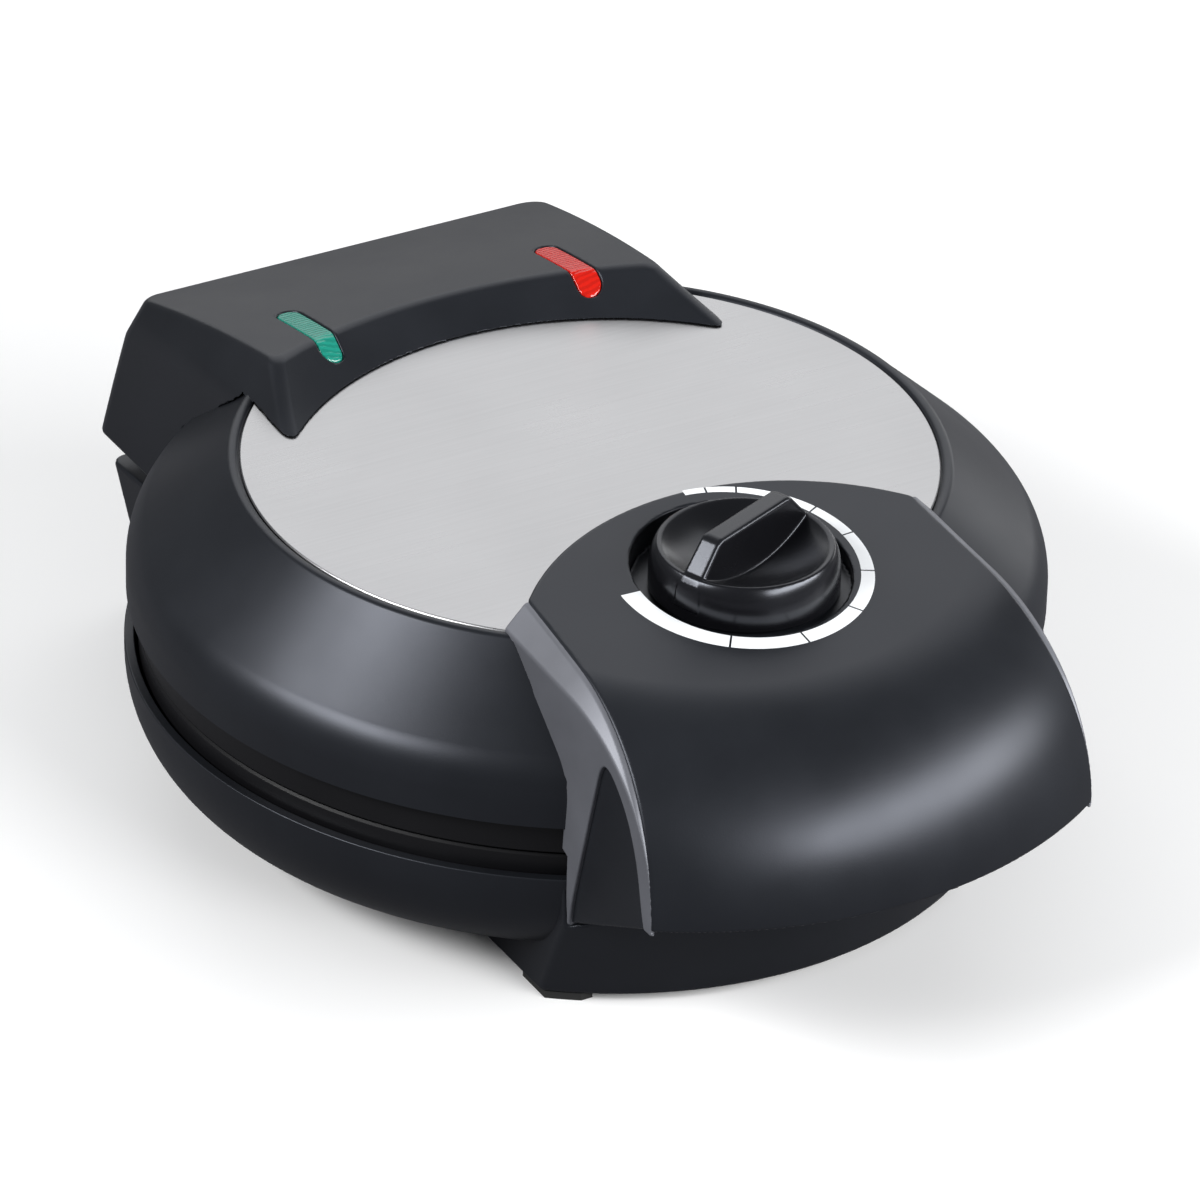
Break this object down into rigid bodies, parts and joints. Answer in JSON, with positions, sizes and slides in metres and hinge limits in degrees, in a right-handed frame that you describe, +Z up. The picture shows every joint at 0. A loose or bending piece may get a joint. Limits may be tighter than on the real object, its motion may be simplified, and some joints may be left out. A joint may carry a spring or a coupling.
{
  "type": "electric donut maker",
  "caption": "Round clamshell donut maker: rear hinge housing with indicator lenses, steel disc on the lid, handle with a thermostat knob and ring-shaped baking cavities inside.",
  "frame": {"origin": "on the resting surface, below the middle of the whole object's box", "axes": "+Z up, +Y from the front handle to the rear hinge, +X to the object's left side seen from behind"},
  "size_m": [0.231, 0.2952, 0.1118],
  "materials": {
    "satin_black": "fine satin texture",
    "inner_black": "matte",
    "grey_trim": "matte metallic grey",
    "brushed_disc": "brushed",
    "bright_sheet": "rolled sheet",
    "cast_plate": "dark non-stick coating",
    "heater_tube": "heat-tinted tube",
    "plated_steel": "zinc plated",
    "hinge_steel": "plain steel",
    "rubber": "matte",
    "green_lens": "clear moulding",
    "red_lens": "clear moulding",
    "lamp_glass": "clear",
    "pale_moulding": "moulded",
    "ceramic": "glazed"
  },
  "bodies": {
    "base": {"base_shell": "satin_black", "bottom_cover": "inner_black", "bottom_screws": "plated_steel", "wiring_cover": "inner_black", "wiring_cover_screws": "plated_steel", "rubber_feet": "rubber", "lower_plate": "cast_plate", "lower_element": "heater_tube", "lower_element_clips": "plated_steel", "lower_reflector": "bright_sheet", "lower_plate_screws": "plated_steel", "base_hinge_bracket": "hinge_steel", "base_bracket_screws": "plated_steel", "hinge_pin": "hinge_steel", "pin_clips": "plated_steel", "cord_gland": "rubber", "cord_clamp": "inner_black", "cord_clamp_screws": "plated_steel", "terminal_block": "pale_moulding", "terminal_screws": "plated_steel"},
    "lid": {"lid_shell": "satin_black", "top_disc": "brushed_disc", "rear_cover": "satin_black", "rear_cover_screws": "plated_steel", "ready_lens": "green_lens", "power_lens": "red_lens", "indicator_lamps": "lamp_glass", "lamp_holders": "pale_moulding", "front_cover": "satin_black", "left_trim": "grey_trim", "right_trim": "grey_trim", "handle_liner": "satin_black", "handle_screws": "plated_steel", "upper_plate": "cast_plate", "upper_element": "heater_tube", "upper_element_clips": "plated_steel", "upper_reflector": "bright_sheet", "upper_plate_screws": "plated_steel", "thermostat": "ceramic", "thermostat_bracket": "bright_sheet", "thermostat_screws": "plated_steel", "thermal_fuse": "ceramic", "fuse_clip": "bright_sheet", "lid_hinge_bracket": "hinge_steel", "lid_bracket_screws": "plated_steel"},
    "knob": {"knob": "satin_black", "thermostat_shaft": "hinge_steel", "knob_spring": "plated_steel"}
  },
  "joints": [
    {"name": "lid_hinge", "type": "hinge", "parent": "base", "child": "lid", "pos_m": [0, 0.1381, 0.0505], "axis": [-1, 0, 0], "range_deg": [0, 100]},
    {"name": "knob_turn", "type": "hinge", "parent": "lid", "child": "knob", "pos_m": [0, -0.0658, 0.0962], "axis": [0, 0, 1], "range_deg": [-205, 64]}
  ]
}
